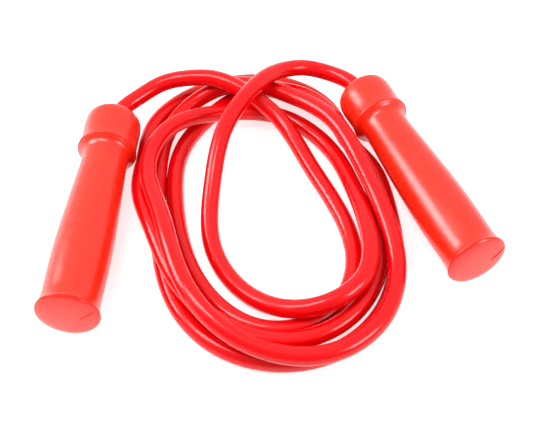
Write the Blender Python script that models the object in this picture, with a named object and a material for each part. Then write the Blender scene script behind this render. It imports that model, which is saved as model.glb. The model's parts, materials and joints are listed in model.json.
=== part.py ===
"""Heavy bearing skipping rope, lying in loose turns between its two handles.

Metres, +Z up.  The origin is on the surface that the handles lie on, under the middle of the two
handles' box.  Each handle is built along the +Z of an empty that stands at the middle of its cap's
face, so that +Z is the axis that the handle spins about.  A station is a distance from that face.
"""

import math

import bmesh
import bpy
import numpy as np
from mathutils import Matrix

MM = 0.001
GAP = 0.3 * MM                     # room between two pieces that touch or run past each other

# The two handles: where the middle of each cap's face is, and which way its handle points
HANDLES = {
    "left": ((-0.0952, 0.0560), math.radians(-94.3)),
    "right": ((0.0532, 0.0799), math.radians(-67.5)),
}
HANDLE_LENGTH = 142.0 * MM
AXIS_HEIGHT = 17.05 * MM           # the handle lies on its collar and on its rim
COLLAR_RADIUS = AXIS_HEIGHT
SHELL_SIDES = 32

# Rope
ROPE_RADIUS = 5.0 * MM
ROPE_TAIL = 20.0 * MM              # how far the rope reaches into each handle
ROPE_POINTS = 80                   # points of the plain tube, closer together where it bends
ROPE_EASY_BEND = 100.0 * MM        # a bend wider than this hardly draws the points together
ROPE_FIT = 5.3 * MM                # bore of the pieces that the rope goes through

# Head cap
CAP_WALL = 3.0 * MM                # end wall, which the bearing is pulled against
CAP_HOLE = 9.2 * MM
CAP_BORE = 14.3 * MM
CAP_LENGTH = 28.0 * MM
GROOVE_START = 10.4 * MM           # circlip groove in the cap's bore
GROOVE_END = 12.0 * MM
GROOVE_RADIUS = 14.9 * MM

# Ball bearing
RACE_START = CAP_WALL + GAP
RACE_WIDTH = 7.0 * MM
RACE_END = RACE_START + RACE_WIDTH
RACE_OUTER = CAP_BORE - GAP
RACE_BORE = 7.5 * MM
RACE_SIDES = 24
BALL_COUNT = 8
BALL_RADIUS = 2.0 * MM
PITCH_RADIUS = (RACE_OUTER + RACE_BORE) / 2
TRACK_RADIUS = BALL_RADIUS + 0.25 * MM
TRACK_DEPTH = 0.8 * MM
CAGE_THICKNESS = 2.0 * MM
CAGE_WIDTH = 6.2 * MM
POCKET_RADIUS = BALL_RADIUS + GAP

# Pieces that hold the rope and the bearing
PLATE = 1.2 * MM                   # thickness of the circlip and of the washer
PLATE_START = RACE_END + GAP
FERRULE_START = PLATE_START + PLATE + GAP
SPIGOT_START = 12.4 * MM           # where the grip's spigot starts inside the cap
SPIGOT_RADIUS = CAP_BORE - GAP
PLUG_START = HANDLE_LENGTH - 3.0 * MM

# The rope's route over the surface, from the right handle's cap to the left one's, in millimetres
ROUTE_MM = [
    (46, 89, 17.5), (35, 95.5, 18), (19, 98, 20.5), (5, 92, 24), (-5, 81, 28.5), (-15, 65, 31),
    (-28.4, 39, 28.5), (-35.3, 5, 16.5), (-34.4, -31, 7.5), (-15, -63, 6.5), (18, -78, 16),
    (45.5, -62, 20), (50, -28, 19), (44, 9, 11.5), (32, 44, 6), (5, 69, 6.2), (-29, 67, 12),
    (-61, 49, 18), (-72, 17, 19.5), (-63, -19, 23.5), (-53, -54, 25.5), (-37, -84, 23),
    (-8, -103, 17), (27, -104, 14.5), (55, -82, 14.5), (64, -49, 17.5), (58, -16, 22.5),
    (48, 18, 23), (34, 50, 23.5), (9, 76, 18), (-26, 87, 16), (-56, 71, 8.5), (-67, 37, 8),
    (-67, 3, 5.5), (-63, -32, 5.2), (-53, -67, 5.2), (-30, -94, 5.2), (5, -104, 5.2),
    (38, -93, 5.2), (60, -65, 5.2), (66, -29, 5.2), (63.5, 3, 5.2), (56, 31, 5.2), (43.5, 51, 5.2),
    (36, 73, 5.2), (9, 98, 5.2), (-27, 100, 5.2), (-59, 83, 5.2), (-74, 60, 5.2), (-77, 34, 5.5),
    (-77.5, 10, 9), (-68, -23, 15), (-54, -56, 15), (-31, -83, 12.5), (2, -94, 9.5), (35, -82, 9.5),
    (54, -53, 10.5), (57.5, -19, 12), (54, 14, 13), (41.5, 46.5, 15), (23, 78, 13), (-10, 91, 7.5),
    (-39, 71, 5.2), (-56, 38, 5.2), (-57, 4, 5.2), (-50.5, -32, 5.2), (-35, -64, 5.2),
    (-6, -84, 5.2), (27.5, -74.5, 5.2), (42.8, -42.5, 5.2), (36, -4.5, 5.2), (19.8, 30.4, 7), (2, 61, 14),
    (-19, 76, 22), (-37, 84, 24.5), (-52, 86, 23), (-68, 83.5, 21), (-81.5, 74.5, 18.5),
    (-90.6, 65.6, 17.5),
]

# Finishes: colour, roughness, metallic
FINISHES = {
    "handle_plastic": ((0.78, 0.045, 0.035), 0.35, 0.0),
    "rope_pvc": ((0.82, 0.006, 0.012), 0.12, 0.0),
    "bearing_steel": ((0.62, 0.62, 0.64), 0.20, 1.0),
    "cage_nylon": ((0.80, 0.77, 0.70), 0.45, 0.0),
    "spring_steel": ((0.22, 0.23, 0.25), 0.35, 1.0),
    "bush_nylon": ((0.70, 0.05, 0.04), 0.40, 0.0),
    "plated_steel": ((0.72, 0.72, 0.74), 0.25, 1.0),
    "ferrule_alloy": ((0.75, 0.75, 0.76), 0.35, 1.0),
}


# ---------------------------------------------------------------- shapes

def arc(centre, radius, start, end, steps):
    """Points (station, radius) on an arc; angles in degrees, 90 points away from the axis."""
    angles = np.radians(np.linspace(start, end, steps + 1))
    return [(centre[0] + radius * math.cos(a), centre[1] + radius * math.sin(a)) for a in angles]


def smooth_outline(stations, steps):
    """A Catmull-Rom curve through the stations, with the given number of steps between two."""
    padded = [stations[0]] + list(stations) + [stations[-1]]
    points = []
    for before, first, second, after in zip(padded, padded[1:], padded[2:], padded[3:]):
        p0, p1, p2, p3 = (np.array(p) for p in (before, first, second, after))
        for t in np.arange(steps) / steps:
            points.append(0.5 * (2 * p1 + (p2 - p0) * t + (2 * p0 - 5 * p1 + 4 * p2 - p3) * t ** 2
                                 + (3 * p1 - p0 - 3 * p2 + p3) * t ** 3))
    points.append(np.array(stations[-1]))
    return [(float(s), float(r)) for s, r in points]


def in_mm(points):
    return [(s * MM, r * MM) for s, r in points]


def finish_mesh(bm, name):
    """Turns the bmesh into a smooth-shaded mesh whose faces point out."""
    bmesh.ops.recalc_face_normals(bm, faces=bm.faces)
    if bm.calc_volume(signed=True) < 0:
        bmesh.ops.reverse_faces(bm, faces=bm.faces)
    mesh = bpy.data.meshes.new(name)
    bm.to_mesh(mesh)
    bm.free()
    mesh.shade_smooth()
    mesh.set_sharp_from_angle(angle=math.radians(35))
    return mesh


def turned(name, outline, sides):
    """A solid turned about Z: a closed outline of (station, radius), or one that starts and ends
    on the axis.  Its first row of corners points along +X, so a corner lies straight down."""
    bm = bmesh.new()
    rings = []
    for station, radius in outline:
        if radius == 0:
            rings.append([bm.verts.new((0, 0, station))] * sides)
            continue
        angles = [2 * math.pi * k / sides for k in range(sides)]
        rings.append([bm.verts.new((radius * math.cos(a), radius * math.sin(a), station))
                      for a in angles])
    pairs = list(zip(rings, rings[1:]))
    if outline[0][1] > 0:
        pairs.append((rings[-1], rings[0]))
    for here, there in pairs:
        for k in range(sides):
            after = (k + 1) % sides
            corners = (here[k], here[after], there[after], there[k])
            bm.faces.new(dict.fromkeys(corners))
    return finish_mesh(bm, name)


def extruded(name, outline, holes, start, thickness, sides):
    """A flat plate with the given outline in X and Y, with round holes (x, y, radius)."""
    bm = bmesh.new()
    loops = [outline]
    for x, y, radius in holes:
        angles = [2 * math.pi * k / sides for k in range(sides)]
        loops.append([(x + radius * math.cos(a), y + radius * math.sin(a)) for a in angles])
    edges = []
    for loop in loops:
        corners = [bm.verts.new((x, y, start)) for x, y in loop]
        for one, other in zip(corners, corners[1:] + corners[:1]):
            edges.append(bm.edges.new((one, other)))
    bmesh.ops.triangle_fill(bm, edges=edges, use_beauty=True, use_dissolve=False)
    made = bmesh.ops.extrude_face_region(bm, geom=list(bm.faces))
    moved = [item for item in made["geom"] if isinstance(item, bmesh.types.BMVert)]
    bmesh.ops.translate(bm, verts=moved, vec=(0, 0, thickness))
    return finish_mesh(bm, name)


# ---------------------------------------------------------------- pieces of one handle

def head_cap_mesh():
    """Shell over the bearing: an end wall with a hole, rounded shoulders, and a collar that
    stands proud at its lower end, with a circlip groove in its bore."""
    outer = in_mm([(0, 12.3), (1.1, 14.1), (3.5, 15.9), (8.0, 16.45), (14.0, 16.3), (21.0, 16.35)])
    collar = smooth_outline(in_mm([(21.0, 16.35), (24.3, 17.05), (27.0, 17.05), (28.0, 15.7)]), 2)
    groove = [(GROOVE_END, CAP_BORE), (GROOVE_END, GROOVE_RADIUS),
              (GROOVE_START, GROOVE_RADIUS), (GROOVE_START, CAP_BORE)]
    collar = [(s, min(r, COLLAR_RADIUS)) for s, r in collar]
    bore = [(CAP_LENGTH, CAP_BORE)] + groove + [(CAP_WALL, CAP_BORE), (CAP_WALL, CAP_HOLE)]
    outline = outer[:-1] + collar + bore + [(0.0, CAP_HOLE)]
    return turned("head_cap", outline, SHELL_SIDES)


def grip_mesh():
    """Hollow grip: a spigot inside the cap, a slim neck, a palm swell, and a flare to the rim."""
    visible = in_mm([(30.0, 13.3), (40.0, 13.25), (53.0, 13.9), (71.0, 14.8), (89.0, 15.6),
                     (106.0, 15.9), (120.0, 15.7), (128.0, 15.5), (134.0, 15.85), (137.3, 16.7)])
    neck = [(SPIGOT_START, SPIGOT_RADIUS), (28.6 * MM, SPIGOT_RADIUS)]
    rim = [(138.1 * MM, COLLAR_RADIUS), (PLUG_START - GAP, COLLAR_RADIUS)]
    bore = in_mm([(138.7, 13.3), (100.0, 13.3), (32.0, 10.6), (26.0, 9.6), (12.4, 9.6)])
    return turned("grip", neck + visible + rim + bore, SHELL_SIDES)


def end_plug_mesh():
    """Disc with a rounded edge that closes the grip's wide end, with a hollow spigot."""
    spigot = 12.9 * MM
    inside = 11.0 * MM
    edge = arc((PLUG_START + 1.4 * MM, COLLAR_RADIUS - 1.6 * MM), 1.6 * MM, 90, 0, 4)
    outline = [(PLUG_START + 0.8 * MM, 0), (PLUG_START + 0.8 * MM, inside),
               (PLUG_START - 7.0 * MM, inside), (PLUG_START - 7.0 * MM, spigot),
               (PLUG_START, spigot), (PLUG_START, COLLAR_RADIUS - 0.3 * MM),
               (PLUG_START + 0.3 * MM, COLLAR_RADIUS)] + edge + [(HANDLE_LENGTH, 0)]
    return turned("end_plug", outline, SHELL_SIDES)


def race_mesh(name, back, shoulder, track_from, track_to):
    """A bearing ring with a round track for the balls, between two flat shoulders."""
    middle = (RACE_START + RACE_WIDTH / 2, PITCH_RADIUS)
    track = arc(middle, TRACK_RADIUS, track_from, track_to, 5)
    outline = [(RACE_START, back), (RACE_START, shoulder)] + track
    outline += [(RACE_END, shoulder), (RACE_END, back)]
    return turned(name, outline, RACE_SIDES)


def outer_race_mesh():
    edge = math.degrees(math.asin(1 - TRACK_DEPTH / TRACK_RADIUS))
    shoulder = PITCH_RADIUS + TRACK_RADIUS - TRACK_DEPTH
    return race_mesh("bearing_outer_race", RACE_OUTER, shoulder, 180 - edge, edge)


def inner_race_mesh():
    edge = math.degrees(math.asin(1 - TRACK_DEPTH / TRACK_RADIUS))
    shoulder = PITCH_RADIUS - TRACK_RADIUS + TRACK_DEPTH
    return race_mesh("bearing_inner_race", RACE_BORE, shoulder, 180 + edge, 360 - edge)


def ball_mesh():
    bm = bmesh.new()
    bmesh.ops.create_uvsphere(bm, u_segments=12, v_segments=6, radius=BALL_RADIUS)
    return finish_mesh(bm, "bearing_ball")


def cage_mesh():
    """Plain ring between the races; its pockets are cut by the ring of pocket cutters."""
    start = RACE_START + (RACE_WIDTH - CAGE_WIDTH) / 2
    inner = PITCH_RADIUS - CAGE_THICKNESS / 2
    outer = PITCH_RADIUS + CAGE_THICKNESS / 2
    outline = [(start, inner), (start, outer), (start + CAGE_WIDTH, outer),
               (start + CAGE_WIDTH, inner)]
    return turned("bearing_cage", outline, RACE_SIDES)


def pockets_mesh():
    """One radial cylinder through the cage for each ball."""
    bm = bmesh.new()
    reach = PITCH_RADIUS + CAGE_THICKNESS
    depth = 2 * CAGE_THICKNESS
    for k in range(BALL_COUNT):
        turn = Matrix.Rotation(ball_angle(k), 4, "Z")
        place = Matrix.Translation((reach - depth / 2, 0, RACE_START + RACE_WIDTH / 2))
        tip = Matrix.Rotation(math.radians(90), 4, "Y")
        bmesh.ops.create_cone(bm, cap_ends=True, segments=12, radius1=POCKET_RADIUS,
                              radius2=POCKET_RADIUS, depth=depth, matrix=turn @ place @ tip)
    return finish_mesh(bm, "cage_pockets")


def retainer_mesh():
    """Internal circlip: an open ring with an eyed lug at each end."""
    outer = 14.6 * MM
    inner = 12.7 * MM
    lug = 10.6 * MM
    opening = 14.0                 # half the gap between the lugs, in degrees
    lug_width = 13.0
    sweep = np.radians(np.linspace(opening, 360 - opening, 29))
    outline = [(outer * math.cos(a), outer * math.sin(a)) for a in sweep]
    back = np.radians(np.linspace(360 - opening - lug_width, opening + lug_width, 25))
    ends = np.radians([360 - opening, 360 - opening - lug_width])
    outline += [(lug * math.cos(a), lug * math.sin(a)) for a in ends]
    outline += [(inner * math.cos(a), inner * math.sin(a)) for a in back]
    ends = np.radians([opening + lug_width, opening])
    outline += [(lug * math.cos(a), lug * math.sin(a)) for a in ends]
    eye = math.radians(opening + lug_width / 2)
    middle = (lug + outer) / 2
    holes = [(middle * math.cos(a), middle * math.sin(a), 0.65 * MM) for a in (eye, -eye)]
    return extruded("bearing_retainer", outline, holes, PLATE_START, PLATE, 10)


def bush_mesh():
    """Flanged bush that the rope turns with: its sleeve sits in the inner race."""
    flange = 8.8 * MM
    sleeve = RACE_BORE - GAP
    nose = 0.4 * MM
    outline = [(nose, ROPE_FIT + 0.5 * MM), (nose, flange - 0.6 * MM), (nose + 0.5 * MM, flange),
               (CAP_WALL, flange), (CAP_WALL, sleeve), (RACE_END, sleeve), (RACE_END, ROPE_FIT),
               (nose + 0.5 * MM, ROPE_FIT)]
    return turned("rope_bush", outline, RACE_SIDES)


def washer_mesh():
    """Thrust washer between the inner race and the ferrule."""
    end = PLATE_START + PLATE
    rim = 9.0 * MM
    break_edge = 0.2 * MM
    outline = [(PLATE_START, ROPE_FIT), (PLATE_START, rim - break_edge),
               (PLATE_START + break_edge, rim), (end - break_edge, rim), (end, rim - break_edge),
               (end, ROPE_FIT)]
    return turned("rope_washer", outline, RACE_SIDES)


def ferrule_mesh():
    """Cup crimped on the rope's end, with two crimp grooves round it."""
    outer = 7.0 * MM
    depth = 0.5 * MM
    floor = ROPE_TAIL + 0.4 * MM
    outline = [(floor, 0), (floor, ROPE_FIT), (FERRULE_START, ROPE_FIT), (FERRULE_START, outer)]
    for middle in (14.8 * MM, 18.2 * MM):
        outline += [(middle - 1.0 * MM, outer), (middle - 0.4 * MM, outer - depth),
                    (middle + 0.4 * MM, outer - depth), (middle + 1.0 * MM, outer)]
    end = floor + 1.4 * MM
    outline += [(end - 0.5 * MM, outer), (end, outer - 0.5 * MM), (end, 0)]
    return turned("rope_ferrule", outline, 24)


# ---------------------------------------------------------------- rope

def natural_spline(points):
    """Smooth curve through the points, straight at both ends: returns its function and knots."""
    points = np.array(points, float)
    steps = np.linalg.norm(np.diff(points, axis=0), axis=1)
    knots = np.concatenate([[0.0], np.cumsum(steps)])
    count = len(points)
    matrix = np.eye(count)
    right = np.zeros((count, 3))
    for i in range(1, count - 1):
        matrix[i, i - 1:i + 2] = steps[i - 1], 2 * (steps[i - 1] + steps[i]), steps[i]
        right[i] = 6 * ((points[i + 1] - points[i]) / steps[i]
                        - (points[i] - points[i - 1]) / steps[i - 1])
    bends = np.linalg.solve(matrix, right)

    def at(u):
        i = np.clip(np.searchsorted(knots, u, side="right") - 1, 0, count - 2)
        left = (knots[i + 1] - u)[:, None]
        here = (u - knots[i])[:, None]
        step = steps[i][:, None]
        return ((bends[i] * left ** 3 + bends[i + 1] * here ** 3) / (6 * step)
                + (points[i] / step - bends[i] * step / 6) * left
                + (points[i + 1] / step - bends[i + 1] * step / 6) * here)

    return at, knots


def face_and_axis(side):
    """The middle of a handle's cap face, and the handle's direction, in world space."""
    (x, y), yaw = HANDLES[side]
    return np.array((x, y, AXIS_HEIGHT)), np.array((math.cos(yaw), math.sin(yaw), 0.0))


def rope_points():
    """Points of the plain tube: straight inside each handle, closer together where it bends."""
    right_face, right_axis = face_and_axis("right")
    left_face, left_axis = face_and_axis("left")
    tails = (ROPE_TAIL, ROPE_TAIL / 2, 0.0)
    route = [right_face + right_axis * tail for tail in tails]
    route += [np.array(point) * MM for point in ROUTE_MM]
    route += [left_face + left_axis * tail for tail in reversed(tails)]
    at, knots = natural_spline(route)
    fine = at(np.linspace(knots[2], knots[-3], 8000))
    steps = np.linalg.norm(np.diff(fine, axis=0), axis=1)
    length = np.concatenate([[0.0], np.cumsum(steps)])
    heading = np.gradient(fine, length, axis=0)
    bend = np.linalg.norm(np.gradient(heading, length, axis=0), axis=1)
    crowding = np.sqrt(bend + 1 / ROPE_EASY_BEND)
    spent = np.concatenate([[0.0], np.cumsum((crowding[1:] + crowding[:-1]) / 2 * steps)])
    wanted = np.linspace(0, spent[-1], ROPE_POINTS - 2)
    free = np.stack([np.interp(wanted, spent, fine[:, k]) for k in range(3)], axis=1)
    return [route[0]] + list(free) + [route[-1]]


def add_rope(material):
    curve = bpy.data.curves.new("rope", "CURVE")
    curve.dimensions = "3D"
    curve.bevel_depth = ROPE_RADIUS
    curve.bevel_resolution = 3
    curve.use_fill_caps = True
    points = rope_points()
    spline = curve.splines.new("POLY")
    spline.points.add(len(points) - 1)
    for slot, point in zip(spline.points, points):
        slot.co = (*point, 1.0)
    curve.materials.append(material)
    rope = bpy.data.objects.new("rope", curve)
    bpy.context.collection.objects.link(rope)


# ---------------------------------------------------------------- assembly

def ball_angle(k):
    return 2 * math.pi * k / BALL_COUNT


def make_material(name):
    colour, roughness, metallic = FINISHES[name]
    material = bpy.data.materials.new(name)
    material.diffuse_color = (*colour, 1.0)
    material.use_nodes = True
    shader = material.node_tree.nodes["Principled BSDF"]
    shader.inputs["Base Color"].default_value = (*colour, 1.0)
    shader.inputs["Roughness"].default_value = roughness
    shader.inputs["Metallic"].default_value = metallic
    return material


def place(name, mesh, parent, location=(0, 0, 0)):
    piece = bpy.data.objects.new(name, mesh)
    piece.parent = parent
    piece.location = location
    bpy.context.collection.objects.link(piece)
    return piece


def cut_pockets(cage, cutter):
    cutter.hide_render = True
    cutter.display_type = "WIRE"
    cut = cage.modifiers.new("pockets", "BOOLEAN")
    cut.operation = "DIFFERENCE"
    cut.solver = "EXACT"
    cut.object = cutter


def add_axis(side):
    """The empty that a handle's pieces hang on: its +Z is the axis the handle spins about."""
    (x, y), yaw = HANDLES[side]
    axis = bpy.data.objects.new(side + "_spin_axis", None)
    axis.location = (x, y, AXIS_HEIGHT)
    axis.rotation_euler = (0, math.radians(90), yaw)
    bpy.context.collection.objects.link(axis)
    return axis


def main():
    for old in list(bpy.data.objects):
        bpy.data.objects.remove(old, do_unlink=True)

    materials = {name: make_material(name) for name in FINISHES}
    pieces = {
        "head_cap": (head_cap_mesh(), "handle_plastic"),
        "grip": (grip_mesh(), "handle_plastic"),
        "end_plug": (end_plug_mesh(), "handle_plastic"),
        "bearing_outer_race": (outer_race_mesh(), "bearing_steel"),
        "bearing_inner_race": (inner_race_mesh(), "bearing_steel"),
        "bearing_cage": (cage_mesh(), "cage_nylon"),
        "bearing_retainer": (retainer_mesh(), "spring_steel"),
        "rope_bush": (bush_mesh(), "bush_nylon"),
        "rope_washer": (washer_mesh(), "plated_steel"),
        "rope_ferrule": (ferrule_mesh(), "ferrule_alloy"),
    }
    for mesh, finish in pieces.values():
        mesh.materials.append(materials[finish])
    ball = ball_mesh()
    ball.materials.append(materials["bearing_steel"])
    pockets = pockets_mesh()

    for side in HANDLES:
        axis = add_axis(side)
        made = {name: place(side + "_" + name, mesh, axis) for name, (mesh, _) in pieces.items()}
        cut_pockets(made["bearing_cage"], place(side + "_cage_pockets", pockets, axis))
        for k in range(BALL_COUNT):
            spot = (PITCH_RADIUS * math.cos(ball_angle(k)), PITCH_RADIUS * math.sin(ball_angle(k)),
                    RACE_START + RACE_WIDTH / 2)
            place(f"{side}_bearing_ball_{k + 1}", ball, axis, spot)

    add_rope(materials["rope_pvc"])


main()
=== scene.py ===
"""Looks of the heavy bearing skipping rope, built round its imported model.

Metres, +Z up.  Lengths in the tables below are in millimetres, as on a drawing, and become metres in
one place each.  A handle's outline is given as (station, radius), a station being the distance from
the face of its cap along the axis that the handle spins about.
"""

import json
import math

import bmesh
import bpy
import numpy as np
from mathutils import Matrix, Vector


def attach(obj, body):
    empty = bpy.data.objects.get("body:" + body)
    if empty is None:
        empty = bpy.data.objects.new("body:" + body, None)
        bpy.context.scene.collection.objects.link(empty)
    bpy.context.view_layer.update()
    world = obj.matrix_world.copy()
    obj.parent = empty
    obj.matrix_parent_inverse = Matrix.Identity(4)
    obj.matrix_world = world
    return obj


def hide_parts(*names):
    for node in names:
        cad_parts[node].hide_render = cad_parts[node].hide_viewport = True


MM = 0.001
SIDES = ("left", "right")

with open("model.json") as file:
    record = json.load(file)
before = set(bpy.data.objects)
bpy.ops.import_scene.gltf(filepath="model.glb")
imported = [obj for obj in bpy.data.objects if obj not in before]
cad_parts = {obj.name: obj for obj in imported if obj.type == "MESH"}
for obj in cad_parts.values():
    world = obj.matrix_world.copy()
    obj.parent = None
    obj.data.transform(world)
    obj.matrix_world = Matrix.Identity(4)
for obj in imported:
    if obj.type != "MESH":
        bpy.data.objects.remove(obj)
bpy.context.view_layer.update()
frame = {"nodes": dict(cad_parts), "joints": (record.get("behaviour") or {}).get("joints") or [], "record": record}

# ---------------------------------------------------------------- sizes

ROPE_RADIUS = 5.0 * MM
ROPE_TAIL = 20.0 * MM              # how far the rope reaches into each handle
ROPE_RING_STEP = 2.4 * MM
ROPE_SIDES = 32
ROPE_SAMPLES = 12000               # points read off the spline before it is divided evenly
SHELL_SIDES = 128
BUSH_SIDES = 64

# The rope's route over the surface, from the right handle's cap to the left one's, in millimetres
ROUTE_MM = [
    (46, 89, 17.5), (35, 95.5, 18), (19, 98, 20.5), (5, 92, 24), (-5, 81, 28.5), (-15, 65, 31),
    (-28.4, 39, 28.5), (-35.3, 5, 16.5), (-34.4, -31, 7.5), (-15, -63, 6.5), (18, -78, 16),
    (45.5, -62, 20), (50, -28, 19), (44, 9, 11.5), (32, 44, 6), (5, 69, 6.2), (-29, 67, 12),
    (-61, 49, 18), (-72, 17, 19.5), (-63, -19, 23.5), (-53, -54, 25.5), (-37, -84, 23),
    (-8, -103, 17), (27, -104, 14.5), (55, -82, 14.5), (64, -49, 17.5), (58, -16, 22.5),
    (48, 18, 23), (34, 50, 23.5), (9, 76, 18), (-26, 87, 16), (-56, 71, 8.5), (-67, 37, 8),
    (-67, 3, 5.5), (-63, -32, 5.2), (-53, -67, 5.2), (-30, -94, 5.2), (5, -104, 5.2),
    (38, -93, 5.2), (60, -65, 5.2), (66, -29, 5.2), (63.5, 3, 5.2), (56, 31, 5.2), (43.5, 51, 5.2),
    (36, 73, 5.2), (9, 98, 5.2), (-27, 100, 5.2), (-59, 83, 5.2), (-74, 60, 5.2), (-77, 34, 5.5),
    (-77.5, 10, 9), (-68, -23, 15), (-54, -56, 15), (-31, -83, 12.5), (2, -94, 9.5), (35, -82, 9.5),
    (54, -53, 10.5), (57.5, -19, 12), (54, 14, 13), (41.5, 46.5, 15), (23, 78, 13), (-10, 91, 7.5),
    (-39, 71, 5.2), (-56, 38, 5.2), (-57, 4, 5.2), (-50.5, -32, 5.2), (-35, -64, 5.2),
    (-6, -84, 5.2), (27.5, -74.5, 5.2), (42.8, -42.5, 5.2), (36, -4.5, 5.2), (19.8, 30.4, 7), (2, 61, 14),
    (-19, 76, 22), (-37, 84, 24.5), (-52, 86, 23), (-68, 83.5, 21), (-81.5, 74.5, 18.5),
    (-90.6, 65.6, 17.5),
]

# The line on the end plug's face: (across, up) from the middle of the face, in millimetres
GATE_LINE_MM = [(15.0, 5.7), (13.4, 4.2), (11.6, 2.9), (9.2, 1.3), (6.7, 0.2)]
GATE_RADIUS = 0.48 * MM
GATE_POINTS = 40
GATE_SIDES = 12
GATE_TAPER = 0.15                  # radians of the sine left off at each end, so no ring has no width

# ---------------------------------------------------------------- camera

CAMERA_TARGET = Vector((-4.75, -0.4, 0.0)) * MM
CAMERA_DISTANCE = 558.8 * MM
CAMERA_ELEVATION = math.radians(50.27)
CAMERA_LENS = 65.8                 # millimetres, on the sensor below
CAMERA_SENSOR = 36.0
CAMERA_SHIFT_Y = -0.0056
CAMERA_NEAR = 0.01

# ---------------------------------------------------------------- studio

# A bright white tent that fades to its open front, between two values of the direction's Y
WORLD_STRENGTH = 1.00
WORLD_FRONT = 0.35                 # the open front gives this share of the back's light
WORLD_FADE = (-0.75, 0.15)

# The floor glows a little, so that it is white between the strands too
FLOOR_REACH = 3.0                  # metres from the middle to each side
FLOOR_GREY = 0.50
FLOOR_ROUGHNESS = 0.6
FLOOR_GLOW = 0.70

# Each softbox: its place and its size in metres, and its power in watts
SOFTBOXES = (
    ("left_softbox", (-0.72, 0.16, 0.42), (0.42, 0.36), 6.0),
    ("top_softbox", (-0.34, -0.06, 0.80), (0.24, 0.60), 5.2),
    ("right_softbox", (0.62, -0.36, 0.47), (0.32, 0.30), 3.6),
)

# ---------------------------------------------------------------- colours

HANDLE_RED = (0.84, 0.016, 0.003)
ROPE_RED = (0.66, 0.0003, 0.0022)
BUSH_RED = (0.80, 0.02, 0.015)
WHITE = (1, 1, 1, 1)


def add_camera():
    data = bpy.data.cameras.new("camera")
    data.lens = CAMERA_LENS
    data.sensor_width = CAMERA_SENSOR
    data.shift_y = CAMERA_SHIFT_Y
    data.clip_start = CAMERA_NEAR
    camera = bpy.data.objects.new("camera", data)
    back = Vector((0.0, -math.cos(CAMERA_ELEVATION), math.sin(CAMERA_ELEVATION)))
    camera.location = CAMERA_TARGET + back * CAMERA_DISTANCE
    camera.rotation_mode = "QUATERNION"
    camera.rotation_quaternion = (-back).to_track_quat("-Z", "Y")
    bpy.context.scene.collection.objects.link(camera)
    bpy.context.scene.camera = camera


# ---------------------------------------------------------------- shapes

def natural_spline(points):
    """Smooth curve through the points, straight at both ends: returns its function and knots."""
    points = np.array(points, float)
    steps = np.linalg.norm(np.diff(points, axis=0), axis=1)
    knots = np.concatenate([[0.0], np.cumsum(steps)])
    count = len(points)
    matrix = np.eye(count)
    right = np.zeros((count, points.shape[1]))
    for i in range(1, count - 1):
        matrix[i, i - 1:i + 2] = steps[i - 1], 2 * (steps[i - 1] + steps[i]), steps[i]
        right[i] = 6 * ((points[i + 1] - points[i]) / steps[i]
                        - (points[i] - points[i - 1]) / steps[i - 1])
    bends = np.linalg.solve(matrix, right)

    def at(u):
        i = np.clip(np.searchsorted(knots, u, side="right") - 1, 0, count - 2)
        left = (knots[i + 1] - u)[:, None]
        here = (u - knots[i])[:, None]
        step = steps[i][:, None]
        return ((bends[i] * left ** 3 + bends[i + 1] * here ** 3) / (6 * step)
                + (points[i] / step - bends[i] * step / 6) * left
                + (points[i + 1] / step - bends[i + 1] * step / 6) * here)

    return at, knots


def evenly(points, step):
    """The same line with points about a step apart."""
    length = np.concatenate([[0.0], np.cumsum(np.linalg.norm(np.diff(points, axis=0), axis=1))])
    wanted = np.linspace(0.0, length[-1], round(length[-1] / step) + 1)
    return np.stack([np.interp(wanted, length, points[:, k]) for k in range(points.shape[1])], axis=1)


def smooth_outline(stations, step=0.4):
    """A smooth line through (station, radius) points in millimetres, about a step apart."""
    at, knots = natural_spline(stations)
    return [tuple(p) for p in evenly(at(np.linspace(0, knots[-1], 40 * len(stations))), step)]


def arc(centre, radius, start, end, steps):
    """Points (station, radius) on an arc; angles in degrees, 90 points away from the axis."""
    angles = np.radians(np.linspace(start, end, steps + 1))
    return [(centre[0] + radius * math.cos(a), centre[1] + radius * math.sin(a)) for a in angles]


def link(name, mesh, material):
    mesh.materials.append(material)
    piece = bpy.data.objects.new(name, mesh)
    bpy.context.scene.collection.objects.link(piece)
    return piece


def mesh_from(name, bm, sharp=40):
    bmesh.ops.recalc_face_normals(bm, faces=bm.faces)
    if bm.calc_volume(signed=True) < 0:
        bmesh.ops.reverse_faces(bm, faces=bm.faces)
    mesh = bpy.data.meshes.new(name)
    bm.to_mesh(mesh)
    bm.free()
    mesh.shade_smooth()
    mesh.set_sharp_from_angle(angle=math.radians(sharp))
    return mesh


def turned(name, outline, sides=SHELL_SIDES):
    """A solid turned about Z from (station, radius) points in millimetres, closed or ending on
    the axis."""
    bm = bmesh.new()
    rings = []
    for station, radius in outline:
        if radius == 0:
            rings.append([bm.verts.new((0, 0, station * MM))] * sides)
            continue
        angles = [2 * math.pi * k / sides for k in range(sides)]
        rings.append([bm.verts.new((radius * MM * math.cos(a), radius * MM * math.sin(a), station * MM))
                      for a in angles])
    pairs = list(zip(rings, rings[1:]))
    if outline[0][1] > 0:
        pairs.append((rings[-1], rings[0]))
    for here, there in pairs:
        for k in range(sides):
            after = (k + 1) % sides
            bm.faces.new(dict.fromkeys((here[k], here[after], there[after], there[k])))
    return mesh_from(name, bm)


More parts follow.
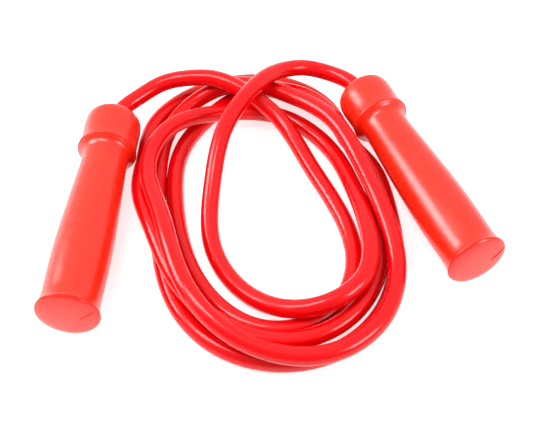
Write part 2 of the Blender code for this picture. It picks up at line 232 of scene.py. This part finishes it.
def tube(name, line, radii, sides):
    """A round tube along the line, its rings carried along without twist, capped at both ends.
    Its UV map holds metres: U round the tube and V along it."""
    heading = np.gradient(line, axis=0)
    heading /= np.linalg.norm(heading, axis=1)[:, None]
    travel = np.concatenate([[0.0], np.cumsum(np.linalg.norm(np.diff(line, axis=0), axis=1))])
    side = np.cross(heading[0], (0.0, 0.0, 1.0))
    angles = 2 * np.pi * np.arange(sides) / sides
    bm = bmesh.new()
    uv = bm.loops.layers.uv.new("along")
    rings = []
    for point, ahead, radius in zip(line, heading, radii):
        side = side - ahead * (side @ ahead)
        side /= np.linalg.norm(side)
        up = np.cross(ahead, side)
        ring = point + radius * (np.cos(angles)[:, None] * side + np.sin(angles)[:, None] * up)
        rings.append([bm.verts.new(p) for p in ring])
    girth = 2 * math.pi * max(radii) / sides
    for i, (here, there) in enumerate(zip(rings, rings[1:])):
        for k in range(sides):
            after = (k + 1) % sides
            face = bm.faces.new((here[k], here[after], there[after], there[k]))
            corners = ((k, i), (k + 1, i), (k + 1, i + 1), (k, i + 1))
            for loop, (turn, ring) in zip(face.loops, corners):
                loop[uv].uv = (turn * girth, travel[ring])
    bm.faces.new(rings[0])
    bm.faces.new(list(reversed(rings[-1])))
    return mesh_from(name, bm)


# ---------------------------------------------------------------- handles

def head_cap_outline():
    face = arc((1.0, 10.2), 1.0, 270, 180, 4) + [(0.0, 11.4)]
    wall = smooth_outline([(0.0, 12.3), (0.35, 13.3), (1.2, 14.5), (2.6, 15.5), (4.6, 16.1),
                           (8.0, 16.42), (13.0, 16.35), (18.0, 16.25), (21.5, 16.35),
                           (24.0, 16.65), (26.0, 16.98), (26.6, 17.04)])
    lip = arc((26.65, 16.89), 0.15, 90, 0, 4)[1:] + [(26.85, 16.5), (27.05, 16.25), (27.6, 15.75)]
    bore = [(28.0, 15.4), (28.0, 14.3), (12.0, 14.3), (12.0, 14.9), (10.4, 14.9),
            (10.4, 14.3), (3.0, 14.3), (3.0, 9.2)]
    return face + wall + lip + bore


def grip_outline():
    neck = smooth_outline([(28.15, 15.35), (28.7, 14.75), (29.6, 14.1), (31.0, 13.55),
                           (33.5, 13.25), (40.0, 13.25),
                           (53.0, 13.9), (71.0, 14.8), (89.0, 15.6), (106.0, 15.9),
                           (120.0, 15.7), (128.0, 15.5), (132.5, 15.6), (135.5, 16.05),
                           (137.4, 16.6), (138.2, 16.95)])
    edge = [(138.5, 17.05), (138.75, 17.0)]
    bore = [(138.75, 13.3), (100.0, 13.3), (32.0, 10.6), (26.0, 9.6), (12.4, 9.6), (12.4, 14.0),
            (28.15, 14.0)]
    return neck + edge + bore


def end_plug_outline():
    rim = [(138.95, 12.9), (138.95, 16.85), (139.05, 16.95)]
    return [(139.8, 0.0), (139.8, 11.0), (132.0, 11.0), (132.0, 12.9)] + rim + plug_face()[1:]


def plug_face():
    """The end plug's gently crowned face, from its edge to the axis."""
    return smooth_outline([(139.05, 16.95), (139.6, 16.6), (140.2, 15.7), (140.9, 13.6),
                           (141.4, 11.0), (141.8, 7.0), (141.97, 3.0)]) + [(142.0, 0.0)]


def bush_outline():
    return [(0.9, 5.3), (0.4, 5.7), (0.4, 8.2), (0.55, 8.6), (0.9, 8.8), (3.0, 8.8), (3.0, 7.2),
            (10.3, 7.2), (10.3, 5.3)]


def spin(side):
    """The joint that a handle spins on: a point of its axis, its direction and its body's name."""
    for joint in frame["joints"]:
        if joint["name"] == side + "_handle_spin":
            return Vector(joint["pos_m"]), Vector(joint["axis"]).normalized(), joint["child"]
    raise ValueError("no spin joint on the " + side + " side")


def stand(piece, side):
    """Puts a turned piece on its handle's axis, its Z along the axis and its X straight down."""
    face, along, _ = spin(side)
    down = Vector((0.0, 0.0, -1.0))
    across = along.cross(down)
    turn = Matrix((down, across, along)).transposed().to_4x4()
    piece.matrix_world = Matrix.Translation(face) @ turn


def add_gate_line(side, material):
    """The short raised line that the moulding gate left on the end plug's face."""
    stations, radii = zip(*reversed(plug_face()))
    at, knots = natural_spline(GATE_LINE_MM)
    line = []
    for across, up in at(np.linspace(0, knots[-1], GATE_POINTS)):
        station = np.interp(math.hypot(across, up), radii, stations)
        line.append((-up * MM, across * MM, station * MM))
    taper = np.sin(np.linspace(GATE_TAPER, math.pi - GATE_TAPER, len(line))) ** 0.5
    mesh = tube(side + "_fine_gate_line", np.array(line), GATE_RADIUS * taper, GATE_SIDES)
    bead = link(side + "_fine_gate_line", mesh, material)
    stand(bead, side)
    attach(bead, spin(side)[2])


def add_handle(side, meshes, materials):
    body = spin(side)[2]
    made = {}
    for name, mesh in meshes.items():
        piece = link(side + "_fine_" + name, mesh, materials[name])
        stand(piece, side)
        made[name] = piece
        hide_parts(side + "_" + name)
    for name in ("head_cap", "grip", "end_plug"):
        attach(made[name], body)
    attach(made["rope_bush"], "rope_line")
    return made


# ---------------------------------------------------------------- rope

def rope_line():
    """The rope's centreline, with both tails inside the handles."""
    right_face, right_along, _ = spin("right")
    left_face, left_along, _ = spin("left")
    tails = (ROPE_TAIL, ROPE_TAIL / 2, 0.0)
    route = [tuple(right_face + right_along * tail) for tail in tails]
    route += [tuple(c * MM for c in point) for point in ROUTE_MM]
    route += [tuple(left_face + left_along * tail) for tail in reversed(tails)]
    at, knots = natural_spline(route)
    return evenly(at(np.linspace(0, knots[-1], ROPE_SAMPLES)), ROPE_RING_STEP)


def add_rope(material):
    line = rope_line()
    radii = np.full(len(line), ROPE_RADIUS)
    rope = link("fine_rope", tube("fine_rope", line, radii, ROPE_SIDES), material)
    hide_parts("rope")
    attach(rope, "rope_line")


# ---------------------------------------------------------------- materials

def node(tree, kind, **values):
    """A new shader node; a value is one of its properties, or else the input of that name."""
    made = tree.nodes.new(kind)
    for key, value in values.items():
        if hasattr(made, key):
            setattr(made, key, value)
        else:
            made.inputs[key.replace("_", " ")].default_value = value
    return made


def new_material(name, **constants):
    material = bpy.data.materials.new(name)
    material.use_nodes = True
    shader = material.node_tree.nodes["Principled BSDF"]
    for socket, value in constants.items():
        shader.inputs[socket.replace("_", " ")].default_value = value
    return material, material.node_tree, shader


def noise(tree, where, scale, detail=3.0):
    made = node(tree, "ShaderNodeTexNoise", Scale=scale, Detail=detail)
    tree.links.new(where, made.inputs["Vector"])
    return made.outputs["Fac"]


def stretched(tree, where, scale):
    """The same coordinates, scaled by another amount along each axis."""
    made = node(tree, "ShaderNodeMapping", Scale=scale)
    tree.links.new(where, made.inputs["Vector"])
    return made.outputs["Vector"]


def vary_colour(tree, shader, factor, colour, other):
    mix = tree.nodes.new("ShaderNodeMix")
    mix.data_type = "RGBA"
    mix.inputs[6].default_value = (*colour, 1)
    mix.inputs[7].default_value = (*other, 1)
    tree.links.new(factor, mix.inputs[0])
    tree.links.new(mix.outputs[2], shader.inputs["Base Color"])


def vary_roughness(tree, shader, factor, low, high):
    spread = node(tree, "ShaderNodeMapRange", From_Min=0.3, From_Max=0.7, To_Min=low, To_Max=high)
    tree.links.new(factor, spread.inputs["Value"])
    tree.links.new(spread.outputs["Result"], shader.inputs["Roughness"])


def relief(tree, shader, heights):
    """Bumps one on another: (height, depth in metres) pairs."""
    normal = None
    for height, depth in heights:
        bump = node(tree, "ShaderNodeBump", Strength=1.0, Distance=depth)
        tree.links.new(height, bump.inputs["Height"])
        if normal:
            tree.links.new(normal, bump.inputs["Normal"])
        normal = bump.outputs["Normal"]
    tree.links.new(normal, shader.inputs["Normal"])


def moulded(name, colour, roughness, grain, **constants):
    """Moulded plastic: a slow drift of colour and gloss, a fine skin grain and faint flow marks."""
    material, tree, shader = new_material(name, **constants)
    place = tree.nodes.new("ShaderNodeTexCoord").outputs["Object"]
    drift = noise(tree, place, 45.0)
    vary_colour(tree, shader, drift, [c * 0.93 for c in colour], [min(1.0, c * 1.05) for c in colour])
    vary_roughness(tree, shader, noise(tree, place, 220.0), roughness * 0.88, roughness * 1.15)
    flow = noise(tree, stretched(tree, place, (60.0, 60.0, 9.0)), 4.0)
    relief(tree, shader, [(noise(tree, place, 1300.0, 2.0), grain), (flow, 3e-5)])
    return material


def rope_skin(name, colour, roughness, **constants):
    """Extruded PVC: die lines that run along the rope, duller scuffed patches and small dents."""
    material, tree, shader = new_material(name, **constants)
    along = tree.nodes.new("ShaderNodeTexCoord").outputs["UV"]
    drift = noise(tree, stretched(tree, along, (40.0, 14.0, 1.0)), 1.0)
    vary_colour(tree, shader, drift, [c * 0.90 for c in colour], [min(1.0, c * 1.06) for c in colour])
    scuffs = noise(tree, stretched(tree, along, (60.0, 12.0, 1.0)), 1.0, 2.0)
    vary_roughness(tree, shader, scuffs, roughness * 0.8, roughness * 1.3)
    die_lines = noise(tree, stretched(tree, along, (900.0, 12.0, 1.0)), 1.0, 2.0)
    waves = noise(tree, stretched(tree, along, (40.0, 16.0, 1.0)), 1.0, 1.0)
    relief(tree, shader, [(die_lines, 2.5e-6), (waves, 1.5e-5)])
    return material


def turned_metal(name, side, colour, roughness, marks, **constants):
    """Metal machined about the handle's axis: rings of tool marks, and a slow drift of gloss."""
    material, tree, shader = new_material(name, Metallic=1.0, **constants)
    face, along, _ = spin(side)
    frame_turn = along.to_track_quat("Z", "Y").to_euler()
    place = tree.nodes.new("ShaderNodeTexCoord").outputs["Object"]
    local = node(tree, "ShaderNodeMapping", vector_type="TEXTURE", Location=face, Rotation=frame_turn)
    tree.links.new(place, local.inputs["Vector"])
    parts = tree.nodes.new("ShaderNodeSeparateXYZ")
    tree.links.new(local.outputs["Vector"], parts.inputs["Vector"])
    flat = tree.nodes.new("ShaderNodeCombineXYZ")
    tree.links.new(parts.outputs["X"], flat.inputs["X"])
    tree.links.new(parts.outputs["Y"], flat.inputs["Y"])
    radius = node(tree, "ShaderNodeVectorMath", operation="LENGTH")
    tree.links.new(flat.outputs["Vector"], radius.inputs[0])
    ring = tree.nodes.new("ShaderNodeCombineXYZ")
    tree.links.new(radius.outputs["Value"], ring.inputs["X"])
    tree.links.new(parts.outputs["Z"], ring.inputs["Y"])
    rings = noise(tree, ring.outputs["Vector"], marks, 4.0)
    drift = noise(tree, place, 300.0)
    vary_colour(tree, shader, drift, [c * 0.9 for c in colour], [min(1.0, c * 1.06) for c in colour])
    vary_roughness(tree, shader, rings, roughness * 0.75, roughness * 1.3)
    relief(tree, shader, [(rings, 1.5e-5), (drift, 1e-5)])
    return material


def finish_cad_nodes():
    """Gives each CAD node that still shows a material for its slot in the record."""
    slots = {part["node"]: part["material_slot"] for part in frame["record"]["subparts"]}
    for side in SIDES:
        finishes = {
            "bearing_steel": turned_metal(side + "_ground_steel", side, (0.62, 0.62, 0.64), 0.16, 5200.0),
            "cage_nylon": moulded(side + "_cage_nylon", (0.80, 0.77, 0.70), 0.45, 2e-5),
            "spring_steel": turned_metal(side + "_black_steel", side, (0.10, 0.10, 0.11), 0.38, 2600.0),
            "plated_steel": turned_metal(side + "_zinc_plate", side, (0.72, 0.73, 0.76), 0.26, 3400.0),
            "ferrule_alloy": turned_metal(side + "_ferrule_alloy", side, (0.75, 0.75, 0.76), 0.33, 2200.0),
        }
        for name, piece in frame["nodes"].items():
            if name.startswith(side) and slots[name] in finishes:
                for slot in piece.material_slots:
                    slot.material = finishes[slots[name]]


# ---------------------------------------------------------------- stage

def add_floor():
    bm = bmesh.new()
    bmesh.ops.create_grid(bm, x_segments=1, y_segments=1, size=FLOOR_REACH)
    mesh = bpy.data.meshes.new("floor")
    bm.to_mesh(mesh)
    bm.free()
    material = bpy.data.materials.new("floor_white")
    material.use_nodes = True
    shader = material.node_tree.nodes["Principled BSDF"]
    shader.inputs["Base Color"].default_value = (FLOOR_GREY, FLOOR_GREY, FLOOR_GREY, 1)
    shader.inputs["Roughness"].default_value = FLOOR_ROUGHNESS
    shader.inputs["Emission Color"].default_value = WHITE
    shader.inputs["Emission Strength"].default_value = FLOOR_GLOW
    floor = link("floor", mesh, material)


def add_world():
    world = bpy.data.worlds.new("white_studio")
    world.use_nodes = True
    tree = world.node_tree
    tree.nodes["Background"].inputs["Color"].default_value = WHITE
    direction = tree.nodes.new("ShaderNodeTexCoord")
    parts = tree.nodes.new("ShaderNodeSeparateXYZ")
    fade = node(tree, "ShaderNodeMapRange", interpolation_type="SMOOTHSTEP",
                From_Min=WORLD_FADE[0], From_Max=WORLD_FADE[1],
                To_Min=WORLD_STRENGTH * WORLD_FRONT, To_Max=WORLD_STRENGTH)
    tree.links.new(direction.outputs["Generated"], parts.inputs["Vector"])
    tree.links.new(parts.outputs["Y"], fade.inputs["Value"])
    tree.links.new(fade.outputs["Result"], tree.nodes["Background"].inputs["Strength"])
    bpy.context.scene.world = world


def add_softboxes():
    for name, place, size, power in SOFTBOXES:
        data = bpy.data.lights.new(name, "AREA")
        data.shape = "RECTANGLE"
        data.size, data.size_y = size
        data.energy = power
        light = bpy.data.objects.new(name, data)
        light.location = place
        light.rotation_mode = "QUATERNION"
        light.rotation_quaternion = (-Vector(place)).to_track_quat("-Z", "Y")
        bpy.context.scene.collection.objects.link(light)


def main():
    bpy.context.scene.view_settings.view_transform = "Standard"
    add_camera()
    add_floor()
    add_world()
    add_softboxes()
    handle = moulded("handle_red", HANDLE_RED, 0.28, 3e-6, Specular_IOR_Level=0.55)
    pvc = rope_skin("rope_red", ROPE_RED, 0.25, Specular_IOR_Level=0.16,
                    Coat_Weight=0.36, Coat_Roughness=0.11,
                    Subsurface_Weight=0.45, Subsurface_Scale=0.005, Subsurface_Radius=(1.0, 0.03, 0.03))
    bush = moulded("bush_red", BUSH_RED, 0.40, 1e-5)
    meshes = {
        "head_cap": turned("fine_head_cap", head_cap_outline()),
        "grip": turned("fine_grip", grip_outline()),
        "end_plug": turned("fine_end_plug", end_plug_outline()),
        "rope_bush": turned("fine_rope_bush", bush_outline(), BUSH_SIDES),
    }
    materials = {"head_cap": handle, "grip": handle, "end_plug": handle, "rope_bush": bush}
    bushes = [add_handle(side, {n: m.copy() for n, m in meshes.items()}, materials)["rope_bush"]
              for side in SIDES]
    for side in SIDES:
        add_gate_line(side, handle)
    add_rope(pvc)
    finish_cad_nodes()


main()
